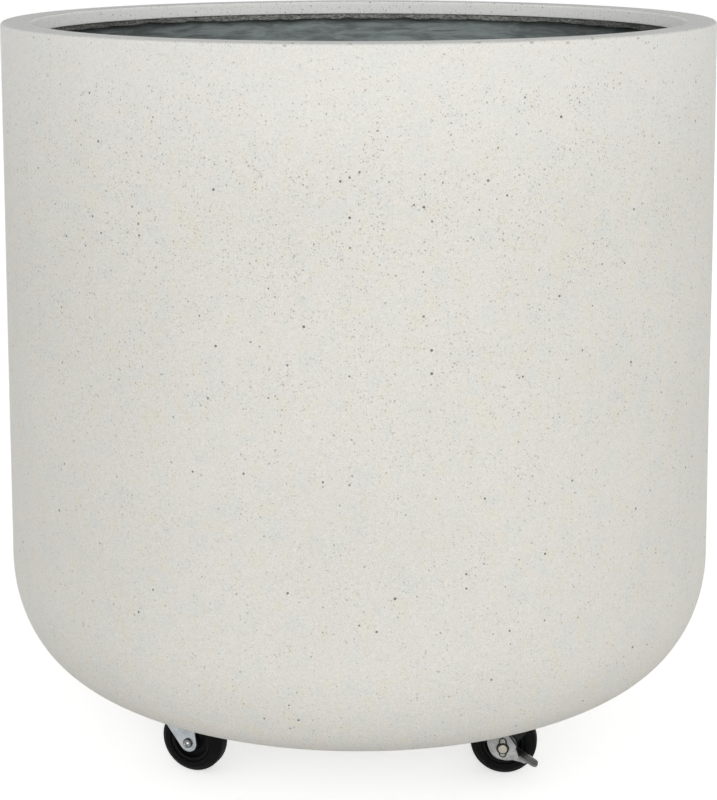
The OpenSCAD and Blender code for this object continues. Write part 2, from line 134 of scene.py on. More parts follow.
# A material in the making, or the world's nodes if their tree is given
class Finish:
    def __init__(self, name, tree=None):
        if tree is None:
            self.material = bpy.data.materials.new(name)
            self.material.use_nodes = True
            tree = self.material.node_tree
        self.tree = tree
        self.tree.nodes.clear()

    # kind is the node's type without its prefix; settings come first, then the sockets' values or links
    def node(self, kind, settings=None, sockets=None, out=0):
        made = self.tree.nodes.new("ShaderNode" + kind)
        for name, value in (settings or {}).items():
            setattr(made, name, value)
        for name, value in (sockets or {}).items():
            if isinstance(value, Socket):
                self.tree.links.new(value.link, made.inputs[name])
            elif isinstance(value, (tuple, list)) and made.inputs[name].type == "RGBA" and len(value) == 3:
                made.inputs[name].default_value = (*value, 1)
            else:
                made.inputs[name].default_value = value
        return Socket(self, made.outputs[out]) if len(made.outputs) else None

    # the place on the piece, in metres: Texture Coordinate's Object output
    def place(self):
        return self.node("TexCoord", out=3)

    # the place on the piece, stretched or shrunk along its axes
    def scaled(self, factors):
        return self.node("Mapping", {}, {"Vector": self.place(), "Scale": factors})

    def mix(self, factor, low, high):
        return self.node("Mix", {"data_type": "RGBA"}, {0: factor, 6: low, 7: high}, 2)

    # lays colours over a base one by one, each by its own mask times its strength
    def layered(self, base, layers):
        for mask, strength, colour in layers:
            base = self.mix(mask * strength, base, colour)
        return base

    def noise(self, scale, detail=3.0, roughness=0.5, where=None, distortion=0.0):
        return self.node("TexNoise", {"noise_dimensions": "3D"},
                         {"Vector": where or self.place(), "Scale": scale, "Detail": detail,
                          "Roughness": roughness, "Distortion": distortion})

    # how far the nearest cell's middle is, and that cell's three random numbers
    def cells(self, scale, where):
        away = self.node("TexVoronoi", {"feature": "F1"}, {"Vector": where, "Scale": scale})
        return away, self.split(Socket(self, away.link.node.outputs[1]))

    # one number from two vectors: how far the first reaches along the second
    def reach(self, vector, direction):
        return self.node("VectorMath", {"operation": "DOT_PRODUCT"}, {0: vector, 1: direction}, 1)

    # shifts a place by noise, so that what is drawn there gets a broken outline
    def broken(self, where, scale, amount):
        inputs = {"Vector": where, "Scale": scale, "Detail": 2.0}
        noise = self.node("TexNoise", {"noise_dimensions": "3D"}, inputs, 1)
        centred = self.node("VectorMath", {"operation": "SUBTRACT"}, {0: noise, 1: (0.5, 0.5, 0.5)})
        moved = self.node("VectorMath", {"operation": "SCALE"}, {0: centred, "Scale": amount})
        return self.node("VectorMath", {"operation": "ADD"}, {0: where, 1: moved})

    def split(self, vector):
        made = self.node("SeparateXYZ", {}, {0: vector})
        outs = made.link.node.outputs
        return [Socket(self, outs[i]) for i in range(3)]

    def bump(self, height, strength, distance, under=None):
        sockets = {"Height": height, "Strength": strength, "Distance": distance}
        if under:
            sockets["Normal"] = under
        return self.node("Bump", {}, sockets)

    def done(self, sockets):
        shader = self.node("BsdfPrincipled", {}, sockets)
        self.node("OutputMaterial", {}, {"Surface": shader})
        return self.material


# The studio: strengths, sizes and places in metres
light = {
    "horizon": 1.11,        # soft light from round about, up to bandTop
    "ceiling": 0.16,        # and from overhead
    "bandLow": 0.45,        # heights on the unit sphere between which the one becomes the other
    "bandTop": 0.75,
    "keyPower": 30.0,
    "keySize": 1.6,
    "keyAt": (0.60, -3.55, 1.2),
    "keyAim": (0, 0, 0.3),
    "keyColour": (1.0, 0.985, 0.955),
    "roomColour": (0.985, 0.995, 1.0),
    "floorShade": 1.0,      # how much of the pot's shadow the floor shows
    "floorGlow": 0.535,     # white that is added to it
    "floorBounce": 0.67,    # the floor's own grey for the light that it throws back
    "floorReach": 12.0,
}


# 1 for the camera's own rays and for those that a shiny or clear surface sends on, or else 0
def seenDirectly(f):
    outs = f.node("LightPath").link.node.outputs
    kinds = ("Camera", "Glossy", "Transmission")
    camera, shiny, clear = [Socket(f, outs[f"Is {kind} Ray"]) for kind in kinds]
    return (camera + shiny + clear).least(1.0)


def makeWorld():
    world = bpy.data.worlds.new("studio")
    bpy.context.scene.world = world
    world.use_nodes = True
    f = Finish("", world.node_tree)
    seen = seenDirectly(f)
    height = f.split(f.node("TexCoord", out=0))[2]      # of the ray's direction
    overhead = height.eased(light["bandLow"], light["bandTop"])
    strength = overhead * (light["ceiling"] - light["horizon"]) + light["horizon"]
    room = f.node("Background", {}, {"Color": light["roomColour"], "Strength": strength})
    white = f.node("Background", {}, {"Color": (1, 1, 1), "Strength": 1.0})
    both = f.node("MixShader", {}, {0: seen, 1: room, 2: white})
    f.node("OutputWorld", {}, {"Surface": both})


# A round lamp turned so that it shines from its place towards its aim
def makeKey():
    data = bpy.data.lights.new("key", "AREA")
    data.shape = "DISK"
    data.size = light["keySize"]
    data.energy = light["keyPower"]
    data.color = light["keyColour"]
    lamp = bpy.data.objects.new("key", data)
    bpy.context.scene.collection.objects.link(lamp)
    lamp.location = light["keyAt"]
    direction = np.array(light["keyAim"]) - np.array(light["keyAt"])
    level = math.hypot(direction[0], direction[1])
    lamp.rotation_euler = (math.atan2(level, -direction[2]), 0, math.atan2(-direction[0], direction[1]))
    lamp.visible_camera = False


def makeFloor():
    finish = Finish("floor")
    seen = seenDirectly(finish)
    bounce = finish.node("BsdfDiffuse", {}, {"Color": (light["floorBounce"],) * 3})
    shade = finish.node("BsdfDiffuse", {}, {"Color": (light["floorShade"],) * 3})
    glow = finish.node("Emission", {}, {"Color": (1, 1, 1), "Strength": light["floorGlow"]})
    shown = finish.node("AddShader", {}, {0: shade, 1: glow})
    both = finish.node("MixShader", {}, {0: seen, 1: bounce, 2: shown})
    finish.node("OutputMaterial", {}, {"Surface": both})
    reach = light["floorReach"]
    corners = [(-reach, -reach, 0), (reach, -reach, 0), (reach, reach, 0), (-reach, reach, 0)]
    mesh = bpy.data.meshes.new("floor")
    mesh.from_pydata(corners, [], [(0, 1, 2, 3)])
    mesh.materials.append(finish.material)
    floor = bpy.data.objects.new("floor", mesh)
    bpy.context.scene.collection.objects.link(floor)


bpy.context.scene.view_settings.view_transform = "Standard"
makeWorld()
makeKey()
makeFloor()
print("floor and light set")


# Joins a grid of points, rows by columns by 3, into quads; either way round it may close on itself
def gridMesh(name, points, closeRows=False, closeColumns=False):
    rows, columns = points.shape[:2]
    index = np.arange(rows * columns).reshape(rows, columns)
    if closeRows:
        index = np.vstack([index, index[:1]])
    if closeColumns:
        index = np.hstack([index, index[:, :1]])
    quads = np.stack([index[:-1, :-1], index[:-1, 1:], index[1:, 1:], index[1:, :-1]], -1).reshape(-1, 4)
    mesh = bpy.data.meshes.new(name)
    mesh.from_pydata(points.reshape(-1, 3).tolist(), [], quads.tolist())
    return mesh


# Welds seams and poles, turns the faces outwards and smooths all but the sharp edges
def tidied(mesh, weld=1e-6, sharp=40.0, outward=True, flat=0.0):
    work = bmesh.new()
    work.from_mesh(mesh)
    bmesh.ops.remove_doubles(work, verts=work.verts, dist=weld)
    bmesh.ops.dissolve_degenerate(work, edges=work.edges, dist=weld / 10)
    # joins the triangles of each flat face into one
    if flat:
        bmesh.ops.dissolve_limit(work, angle_limit=math.radians(flat), verts=work.verts, edges=work.edges)
    if outward:
        bmesh.ops.recalc_face_normals(work, faces=work.faces)
    for face in work.faces:
        face.smooth = True
    limit = math.radians(sharp)
    for edge in work.edges:
        edge.smooth = len(edge.link_faces) == 2 and edge.calc_face_angle(0) < limit
    work.to_mesh(mesh)
    work.free()
    return mesh


# Links a finished mesh as a piece that rides on a body and stands for a node
def addPiece(name, mesh, body, material, node):
    mesh.materials.clear()
    mesh.materials.append(material)
    piece = bpy.data.objects.new(name, mesh)
    bpy.context.scene.collection.objects.link(piece)
    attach(piece, body)
    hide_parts(node)
    return piece


# Points of a section: (radius, height), or (radius, distance along the axle). The last number is how many.
# On an arc: centre plus each half axis times the cosine or sine of an angle that runs evenly, in degrees
def arc(centreR, centreZ, radiusR, radiusZ, start, end, count):
    a = np.radians(np.linspace(start, end, count))
    return np.stack([centreR + radiusR * np.cos(a), centreZ + radiusZ * np.sin(a)], -1)


# On a straight stretch: evenly from start to end
def line(start, end, count):
    t = np.linspace(0, 1, count)[:, None]
    return np.array(start) * (1 - t) + np.array(end) * t


# Joins stretches of a section, and drops a point that repeats the last
def section(*stretches):
    points = np.concatenate([np.atleast_2d(s) for s in stretches]).astype(float)
    step = np.linalg.norm(np.diff(points, axis=0), axis=1)
    keep = np.concatenate([[True], step > 1e-4])
    return points[keep]


# Smooth ripple round the pot, about -1 to 1: a sum of cosine waves of low to high whole turns, at random
# phases, each as high as its number of turns to the power of minus fall
def ripple(angle, low, high, seed, fall=0.5):
    dice = np.random.default_rng(seed)
    turns = np.arange(low, high + 1)
    size = turns.astype(float) ** -fall
    size /= math.sqrt((size ** 2).sum() / 2) * 2.2      # 2.2 times the root mean square is about the peak
    phase = dice.uniform(0, 2 * math.pi, len(turns))
    return (size[:, None] * np.cos(turns[:, None] * angle[None, :] + phase[:, None])).sum(0)


# The pot and its lining, in mm
pot = {
    "rimR": 280.0, "wallR": 283.5, "mouthR": 256.5, "footR": 227.5,
    "potZ": 60.0, "cornerZ": 142.0, "lipZ": 556.5, "rimZ": 568.0, "edgeR": 2.5,
    "cornerW": 56.0, "cornerH": 82.0, "stone": 8.0, "base": 16.0,
    "lining": 4.0, "bond": 0.3, "rawDepth": 5.0, "rawBack": 1.0,
    "drainR": 11.0, "liningHoleR": 17.3,
    "lipRound": 0.8, "rawRound": 1.2,
    "around": 512, "liningAround": 720,
    "wallWaver": 0.35, "mouthWaver": 0.5,       # how far the casting strays from a true round
    "lump": 0.35, "tearBack": 1.7, "tearLow": 1.3, "fray": 0.35,
}

stoneLook = {
    "colour": (0.855, 0.832, 0.768),
    "cool": (0.795, 0.815, 0.795),
    "warm": (0.865, 0.810, 0.680),
    "grit": (0.36, 0.36, 0.34),
    "dark": (0.060, 0.060, 0.056),
    "tan": (0.38, 0.29, 0.18),
    "pale": (0.99, 0.985, 0.96),
    # painted shade for the rim's top face
    "topShade": (0.66, 0.67, 0.66),
}
# specks: cells to the metre, radius in mm, share of the cells that hold one, strength, colour
specks = [
    (520.0, 0.46, 0.66, 0.52, "grit"),
    (330.0, 0.56, 0.66, 0.52, "grit"),
    (230.0, 0.74, 0.42, 0.52, "tan"),
    (250.0, 0.66, 0.34, 0.46, "dark"),
    (165.0, 0.90, 0.20, 0.80, "dark"),
]


# noise: scale in cells to the metre, detail, roughness
stoneGrain = {
    "clusters": (38.0, 2.0, 0.5),
    "mottle": (62.0, 3.0, 0.55),
    "warm": (78.0, 3.0, 0.55),
    "wide": (7.0, 2.0, 0.5),
    "sand": (470.0, 2.0, 0.7),          # grain of about 2 mm
    "powder": (1250.0, 1.0, 0.5),       # and of under 1 mm
}
# heights and radii in metres; a pair is where something begins and where it is full
stoneZones = {
    "rimTop": 0.568,
    "rimR": 0.2775, "rimLow": 0.5560,       # within and above these are the rim's top and inner face
    "innerR": 0.2590, "innerTop": 0.5674,   # the inner face alone
    # heights where the rim's top face gets its painted shade
    "topShade": (0.5666, 0.5678),
    "thinning": (0.008, 0.040),             # depth under the rim where specks grow from few to many
    "fewer": (0.18, 0.46),                  # height below which they are fewer again
    "paleHigh": (0.44, 0.56),
    "nickLow": 0.5632,
}
# little nicks along the rim's outer edge; reach and soft are in cells
nicks = {"scale": 120.0, "stretch": (1.0, 1.0, 1.8), "reach": 0.24, "soft": 0.07,
         "share": 0.40, "strength": 0.50}


# Off-white stone with a mottle, two grains, specks in loose clusters, nicks, painted shade on the rim's top
# and painted light on its inner face
def castStone():
    f = Finish("castStone")
    look, zone = stoneLook, stoneZones
    place = f.place()
    x, y, z = f.split(place)
    fromAxis = x * x + y * y        # squared
    depth = z * -1.0 + zone["rimTop"]
    clusters = f.noise(*stoneGrain["clusters"]).eased(0.36, 0.62) * 0.95 + 0.30
    rim = fromAxis.under(zone["rimR"] ** 2) * z.over(zone["rimLow"])
    inner = rim * fromAxis.under(zone["innerR"] ** 2) * z.under(zone["innerTop"])
    underRim = depth.eased(*zone["thinning"]) * 0.75 + 0.25
    plenty = underRim.most(rim * 0.8) * (z.eased(*zone["fewer"]) * 0.65 + 0.35) * clusters
    mottle = f.noise(*stoneGrain["mottle"])
    shifted = f.node("Mapping", {}, {"Vector": place, "Location": (3.0, 1.0, 2.0)})
    warm = f.noise(*stoneGrain["warm"], where=shifted)
    wide = f.noise(*stoneGrain["wide"])
    sand = f.noise(*stoneGrain["sand"])
    powder = f.noise(*stoneGrain["powder"])
    base = f.layered(look["colour"], [
        (mottle.eased(0.42, 0.72), 0.50, look["cool"]),
        (warm.eased(0.48, 0.74), 0.62, look["warm"]),
        (wide.eased(0.35, 0.75), 0.06, look["grit"]),
        (z.eased(*zone["paleHigh"]), 0.32, look["pale"]),
        # painted shade: the rim's top face darker, as light from overhead is weak
        (z.eased(*zone["topShade"]), 0.62, look["topShade"]),
        # painted light: the rim's inner face paler, to make up for the light that the lip lacks
        (inner, 0.96, look["pale"]),
        (sand.eased(0.52, 0.70), 0.11, look["grit"]),
        ((1 - sand).eased(0.52, 0.72), 0.30, look["pale"]),
        (powder.eased(0.50, 0.66), 0.15, look["grit"]),
        ((1 - powder).eased(0.50, 0.66), 0.34, look["pale"]),
    ])
    # specks and nicks get a broken outline, and each kind of speck a place of its own
    ragged = f.broken(place, 1500.0, 0.0009)
    holes = None
    for i, (scale, radius, share, strength, colour) in enumerate(specks):
        where = f.node("Mapping", {}, {"Vector": ragged, "Location": (0.31 * i, 0.17 * i, 0.11 * i)})
        away, lots = f.cells(scale, where)
        reach = radius * mm * scale
        spot = (lots[1] * reach * 0.7 + reach * 0.6 - away).eased(0.0, reach * 0.30)
        spot = spot * lots[0].under(plenty * share)
        base = f.mix(spot * strength, base, look[colour])
        if colour == "dark":
            holes = spot if holes is None else holes.most(spot)
    n = nicks
    away, lots = f.cells(n["scale"], f.node("Mapping", {}, {"Vector": ragged, "Scale": n["stretch"]}))
    nick = (n["reach"] - away).eased(0.0, n["soft"]) * lots[0].under(n["share"])
    nick = nick * z.over(zone["nickLow"]) * (1 - rim)
    base = f.mix(nick * n["strength"], base, look["tan"])
    rough = 0.64 + mottle * 0.10
    relief = f.bump(mottle * 0.6 + sand * 0.35, 0.25, 0.0006)
    relief = f.bump(1 - holes.most(nick), 0.5, 0.0004, relief)
    return f.done({"Base Color": base, "Roughness": rough, "Normal": relief, "Specular IOR Level": 0.35})


liningLook = {
    "wall": (0.375, 0.43, 0.425),
    "wallDark": (0.185, 0.21, 0.21),
    "wallPale": (0.56, 0.60, 0.59),
    "edge": (0.46, 0.465, 0.44),
    "edgeDark": (0.12, 0.125, 0.115),
    "edgePale": (0.62, 0.61, 0.57),
    # painted shade, under the raw edge and towards the sides
    "liningShade": (0.030, 0.034, 0.030),
}


# noise: scale, detail, roughness, how much shorter it is upwards than round the pot, distortion
liningGrain = {
    "strokes": (26.0, 4.0, 0.6, 6.0, 0.6),
    "threads": (105.0, 4.0, 0.65, 8.0, 0.5),
    "uneven": (40.0, 4.0, 0.6, 0.4, 0.0),
    "torn": (330.0, 4.0, 0.7, 2.2, 0.8),
}
# in metres; a pair is where something begins and where it is full
liningZones = {
    "rawEdge": (0.5506, 0.5518),
    # heights of the painted shadow under the raw edge
    "liningShade": (0.5462, 0.5490), "liningShadeWander": 0.0075,
    "sideShade": (0.13, 0.27), "sideShadeWander": 0.06,     # sideways from the middle
}


def liningNoise(f, kind):
    scale, detail, roughness, squeeze, distortion = liningGrain[kind]
    return f.noise(scale, detail, roughness, where=f.scaled((1.0, 1.0, squeeze)), distortion=distortion)


# Resin and fibre laid on by hand: brushed round the pot in long strokes, with a torn upper edge
def fibreLining():
    f = Finish("fibreLining")
    look, zone = liningLook, liningZones
    x, y, z = f.split(f.place())
    raw = z.eased(*zone["rawEdge"])
    strokes = liningNoise(f, "strokes")
    threads = liningNoise(f, "threads")
    uneven = liningNoise(f, "uneven")
    torn = liningNoise(f, "torn")
    # painted shadow: an uneven dark line right under the torn edge, where the raw edge shades the wall
    liningShade = (z + uneven * zone["liningShadeWander"] - zone["liningShadeWander"] / 2).eased(*zone["liningShade"])
    wall = f.mix(strokes.eased(0.34, 0.66), look["wallDark"], look["wall"])
    wall = f.layered(wall, [
        (threads.eased(0.54, 0.74), 0.38, look["wallPale"]),
        ((1 - threads).eased(0.54, 0.74), 0.45, look["wallDark"]),
        (liningShade, 0.28, look["liningShade"]),
    ])
    edge = f.mix(torn.eased(0.38, 0.62), look["edgeDark"], look["edge"])
    edge = f.mix(torn.eased(0.62, 0.80) * 0.7, edge, look["edgePale"])
    colour = f.mix(raw, wall, edge)
    # painted shade: darker towards both sides, more on the right, where the wall is lit at a graze
    sideShade = (x.size() + uneven * zone["sideShadeWander"]).eased(*zone["sideShade"]) * (x.over(0.0) * 0.16 + 0.52)
    colour = f.mix(sideShade, colour, look["liningShade"])
    rough = 0.62 + threads * 0.25
    relief = f.bump(threads * 0.6 + strokes * 0.6, 0.7, 0.0016)
    relief = f.bump(torn * raw, 0.9, 0.0015, relief)
    return f.done({"Base Color": colour, "Roughness": rough, "Normal": relief, "Specular IOR Level": 0.3})


# The wall's outer radius: it swells in a straight line from the rim down to the bottom curve
def wallRadius(z):
    top = pot["rimZ"] - pot["edgeR"]
    return pot["rimR"] + (pot["wallR"] - pot["rimR"]) * (top - z) / (top - pot["cornerZ"])


# Turns a section round the pot's axis: radius times cosine, radius times sine, height, in metres.
# shift(angle, r, z) gives how far each point moves outwards and up
def turned(profile, count, shift=None):
    angle = np.arange(count) * 2 * math.pi / count
    r = np.repeat(profile[:, :1], count, axis=1)
    z = np.repeat(profile[:, 1:], count, axis=1)
    if shift:
        moveR, moveZ = shift(angle, r, z)
        r, z = r + moveR, z + moveZ
    return np.stack([r * np.cos(angle), r * np.sin(angle), z], -1) * mm


# The casting: outer wall, bottom curve, rim with rounded edges, lip, inner wall and floor with its drain hole
def makeShell():
    p = pot
    small = p["lipRound"]
    top = p["rimZ"] - p["edgeR"]
    insideTop = wallRadius(p["lipZ"]) - p["stone"]
    floorZ = p["potZ"] + p["base"]
    profile = section(
        line((p["drainR"], p["potZ"]), (p["footR"], p["potZ"]), 14),
        arc(p["footR"], p["cornerZ"], p["cornerW"], p["cornerH"], -90, 0, 44),
        line((p["wallR"], p["cornerZ"]), (p["rimR"], top), 70),
        arc(p["rimR"] - p["edgeR"], top, p["edgeR"], p["edgeR"], 0, 90, 9),
        line((p["rimR"] - p["edgeR"], p["rimZ"]), (p["mouthR"] + p["edgeR"], p["rimZ"]), 8),
        arc(p["mouthR"] + p["edgeR"], top, p["edgeR"], p["edgeR"], 90, 180, 9),
        line((p["mouthR"], top), (p["mouthR"], p["lipZ"] + small), 5),
        arc(p["mouthR"] + small, p["lipZ"] + small, small, small, 180, 270, 4),
        line((p["mouthR"] + small, p["lipZ"]), (insideTop, p["lipZ"]), 4),
        line((insideTop, p["lipZ"]), (p["wallR"] - p["stone"], p["cornerZ"]), 12),
        arc(p["footR"], p["cornerZ"], p["cornerW"] - p["stone"], p["cornerH"] - p["base"], 0, -90, 16),
        line((p["footR"], floorZ), (p["drainR"], floorZ), 6),
        line((p["drainR"], floorZ), (p["drainR"], p["potZ"] + 1), 4),
    )

    # the outer wall lies inside a true round by slow waves that change with height, and the mouth wavers too
    def shift(angle, r, z):
        outer = (r > p["mouthR"] + 12) & (z > p["potZ"] + 2)
        waves = np.clip(0.5 + 0.5 * ripple(angle, 3, 14, 5), 0, 1)[None, :]
        rise = 0.5 + 0.5 * np.sin(z / 47.0 + 2.0 * np.cos(angle)[None, :])
        moveR = np.where(outer, -p["wallWaver"] * waves * rise, 0)
        inner = (np.abs(r - p["mouthR"]) < 1.0) & (z > p["lipZ"] - 1)
        moveR = np.where(inner, p["mouthWaver"] * ripple(angle, 5, 60, 8)[None, :] + 0.4, moveR)
        return moveR, np.zeros_like(r)

    points = turned(profile, p["around"], shift)
    grid = gridMesh("castPot", points, closeRows=True, closeColumns=True)
    addPiece("castPot", tidied(grid, sharp=50), "planter", castStone(), "planter_shell")


# The lining: its floor and wall inside the casting, up to a raw edge of its own under the lip, and back down
def makeLining():
    p = pot
    rawZ = p["lipZ"] - p["rawDepth"]
    rawR = p["mouthR"] + p["rawBack"]
    small = p["rawRound"]
    outside = p["stone"] + p["bond"]
    inside = p["stone"] + p["lining"]
    floorZ = p["potZ"] + p["base"] + p["lining"]
    underZ = p["potZ"] + p["base"]
    innerW, innerH = p["cornerW"] - inside, p["cornerH"] - p["base"] - p["lining"]
    outerW, outerH = p["cornerW"] - outside, p["cornerH"] - p["base"]
    profile = section(
        line((p["liningHoleR"], floorZ), (p["footR"], floorZ), 16),
        arc(p["footR"], p["cornerZ"], innerW, innerH, -90, 0, 18),
        line((p["wallR"] - inside, p["cornerZ"]), (wallRadius(rawZ) - inside, rawZ), 90),
        line((wallRadius(rawZ) - inside, rawZ), (rawR + small, rawZ), 7),
        arc(rawR + small, rawZ + small, small, small, 270, 180, 4),
        line((rawR, rawZ + small), (rawR, p["lipZ"]), 6),
        line((rawR, p["lipZ"]), (wallRadius(p["lipZ"]) - outside, p["lipZ"]), 4),
        line((wallRadius(p["lipZ"]) - outside, p["lipZ"]), (p["wallR"] - outside, p["cornerZ"]), 8),
        arc(p["footR"], p["cornerZ"], outerW, outerH, 0, -90, 12),
        line((p["footR"], underZ), (p["liningHoleR"], underZ), 4),
        line((p["liningHoleR"], underZ), (p["liningHoleR"], floorZ - 0.5), 3),
    )

    # the hand-laid wall is uneven by a few tenths, and its raw edge is torn back by up to 4 mm
    def shift(angle, r, z):
        moveR, moveZ = np.zeros_like(r), np.zeros_like(r)
        wallSide = (r < wallRadius(z) - inside + 0.05) & (z > p["cornerZ"] - 1) & (z < rawZ - 2)
        lumps = ripple(angle, 4, 70, 21)[None, :] * np.sin(z / 9.0 + 3 * ripple(angle, 2, 9, 22)[None, :])
        moveR = np.where(wallSide, np.clip(lumps, -1, 1) * p["lump"] - 0.36, moveR)
        edge = (z > rawZ - 0.1) & (z < p["lipZ"] - 0.5) & (r < rawR + 8)
        tear = np.clip(0.4 + ripple(angle, 6, 90, 31, 0.4), 0, 1.6)[None, :]
        ragged = ripple(angle, 20, 140, 33, 0.2)[None, :] * np.sin(z * 1.7)
        moveR = np.where(edge, p["tearBack"] * tear + p["fray"] * (ragged + 1), moveR)
        low = (z < rawZ + 1.3) & (z > rawZ - 0.1) & (r < rawR + 8)
        moveZ = np.where(low, p["tearLow"] * ripple(angle, 5, 80, 41, 0.35)[None, :], moveZ)
        return moveR, moveZ

    points = turned(profile, p["liningAround"], shift)
    grid = gridMesh("liningSkin", points, closeRows=True, closeColumns=True)
    addPiece("liningSkin", tidied(grid, sharp=50), "planter", fibreLining(), "inner_lining")


makeShell()
makeLining()
print("pot and lining made")


metalLook = {
    "zinc": (0.40, 0.425, 0.45),
    "zincDark": (0.26, 0.28, 0.30),
    "zincPale": (0.52, 0.54, 0.56),
    "lever": (0.36, 0.36, 0.355),
    "leverPale": (0.47, 0.47, 0.465),
    "leverDark": (0.20, 0.20, 0.20),
    # painted shade, in recesses, gaps and round the key
    "paintedShade": (0.030, 0.030, 0.028),
    # painted shade on the fork's outer face beside the lever
    "forkShade": (0.010, 0.010, 0.009),
    # painted shade and painted reflection on the pedal's top
    "pedal": (0.060, 0.060, 0.060),
    "pedalEdge": (0.17, 0.17, 0.168),
    "key": (0.33, 0.325, 0.30),
    "keyEnd": (0.42, 0.395, 0.33),
    "washer": (0.20, 0.21, 0.215),
    "rivet": (0.30, 0.31, 0.32),
    "rivetDark": (0.055, 0.057, 0.06),
    "polished": (0.95, 0.95, 0.95),
    "ball": (0.78, 0.79, 0.80),
    "brass": (0.70, 0.55, 0.26),
}


# Zinc plated sheet: clouds, fine spangle and rubbed places in three tones
def zincTint(f, plain, dark, pale):
    spangle = f.noise(640.0, 3.0, 0.65)
    clouds = f.noise(120.0, 3.0, 0.55)
    tint = f.layered(plain, [
        (clouds.eased(0.40, 0.68), 0.70, dark),
        ((1 - clouds).eased(0.48, 0.72), 0.50, pale),
        ((1 - spangle).eased(0.52, 0.70), 0.50, dark),
        (spangle.eased(0.52, 0.70), 0.45, pale),
    ])
    return tint, spangle


# All metal: rougher and slightly raised where its own marks are
def metalDone(f, tint, spangle, rough, relief=0.12):
    return f.done({"Base Color": tint, "Metallic": 1.0, "Roughness": rough + spangle * 0.12,
                   "Normal": f.bump(spangle, relief, 0.0002)})


def zincSheet(name):
    f = Finish(name)
    tint, spangle = zincTint(f, metalLook["zinc"], metalLook["zincDark"], metalLook["zincPale"])
    return metalDone(f, tint, spangle, 0.26)


# One colour of metal with marks in a darker shade of it
def plainMetal(name, colour, roughness):
    f = Finish(name)
    marks = f.noise(600.0, 3.0, 0.6)
    tint = f.mix(marks.eased(0.45, 0.75) * 0.3, colour, tuple(c * 0.6 for c in colour))
    return metalDone(f, tint, marks, roughness, 0.08)


# Rubber and nylon: colour, dust's colour and how much of it, noise for the dust and for the grain,
# roughness and its spread, relief, specular level
dullLook = {
    "blackRubber": {
        "colour": (0.0040, 0.0041, 0.0044), "dust": (0.011, 0.011, 0.0115), "dusty": 0.3, "band": (0.5, 0.8),
        "dustNoise": (180.0, 4.0, 0.6), "grain": (1400.0, 2.0, 0.6),
        "rough": 0.50, "spread": 0.2, "relief": 0.15, "specular": 0.07,
    },
    "blackNylon": {
        "colour": (0.0035, 0.0036, 0.0038), "dust": (0.009, 0.009, 0.0095), "dusty": 0.2, "band": (0.5, 0.8),
        "dustNoise": (900.0, 3.0, 0.6), "grain": (900.0, 3.0, 0.6),
        "rough": 0.40, "spread": 0.15, "relief": 0.10, "specular": 0.09,
    },
    "greyRubber": {
        "colour": (0.016, 0.017, 0.018), "dust": (0.04, 0.04, 0.042), "dusty": 0.4, "band": (0.4, 0.8),
        "dustNoise": (700.0, 3.0, 0.6), "grain": (700.0, 3.0, 0.6),
        "rough": 0.60, "spread": 0.15, "relief": 0.15, "specular": 0.5,
    },
}


def dullFinish(name):
    look = dullLook[name]
    f = Finish(name)
    dust = f.noise(*look["dustNoise"])
    grain = f.noise(*look["grain"])
    tint = f.mix(dust.eased(*look["band"]) * look["dusty"], look["colour"], look["dust"])
    return f.done({"Base Color": tint, "Roughness": look["rough"] + dust * look["spread"],
                   "Normal": f.bump(grain, look["relief"], 0.0001), "Specular IOR Level": look["specular"]})


finishes = {
    "zinc_plate": zincSheet("zincSheet"),
    "bright_zinc": plainMetal("leverZinc", metalLook["lever"], 0.28),
    "rivet_steel": plainMetal("rivetSteel", metalLook["rivet"], 0.30),
    "ball_steel": plainMetal("ballSteel", metalLook["ball"], 0.12),
    "brass": plainMetal("insertBrass", metalLook["brass"], 0.32),
    "black_rubber": dullFinish("blackRubber"),
    "black_plastic": dullFinish("blackNylon"),
    "grey_rubber": dullFinish("greyRubber"),
}
slotOf = {s["node"]: s["material_slot"] for s in frame["record"]["subparts"]}
for node, obj in nodes.items():
    if slotOf[node] in finishes:
        obj.data.materials.clear()
        obj.data.materials.append(finishes[slotOf[node]])
        obj.data.polygons.foreach_set("use_smooth", [True] * len(obj.data.polygons))
print("materials set on", len(nodes), "nodes")


# A caster, in mm
caster = {
    "circleR": 195.0, "trail": 20.0, "axleZ": 25.4,
    "tyreR": 25.4, "tyreHalf": 9.0, "shoulder": 6.4, "tyreBore": 16.6,
    "hubR": 16.5, "hubRimIn": 13.5, "hubRimHalf": 8.0, "webHalf": 4.0,
    "bossR": 7.5, "bossHalf": 10.0, "bore": 4.55,
    "around": 160, "axleAround": 64,
}
# place round the pot and way that the wheel trails, in degrees; side of the axle's outer end; brake
casters = {
    "front_left": (225, -19.5, -1, False),
    "front_right": (315, 176, 1, True),
    "back_left": (135, 62, 1, True),
    "back_right": (45, 128, -1, False),
}


# The axle's middle, and the directions of trail, rolled end and up
def axleFrame(name):
    place, trail, side = casters[name][:3]
    a, t = math.radians(place), math.radians(trail)
    along = np.array([math.cos(t), math.sin(t), 0])
    across = side * np.array([-math.sin(t), math.cos(t), 0])
    swivel = caster["circleR"] * np.array([math.cos(a), math.sin(a), 0])
    return swivel + caster["trail"] * along + np.array([0, 0, caster["axleZ"]]), along, across


# A material's place by trail, axle and up, in mm from the axle's middle, and the distance from the axle
def axleSpace(f, name):
    centre, along, across = axleFrame(name)
    away = f.node("VectorMath", {"operation": "SUBTRACT"}, {0: f.place(), 1: tuple(centre * mm)})
    up = np.array([0, 0, 1.0])
    u, v, w = [f.reach(away, tuple(direction / mm)) for direction in (along, across, up)]
    return u, v, w, (u * u + w * w) ** 0.5


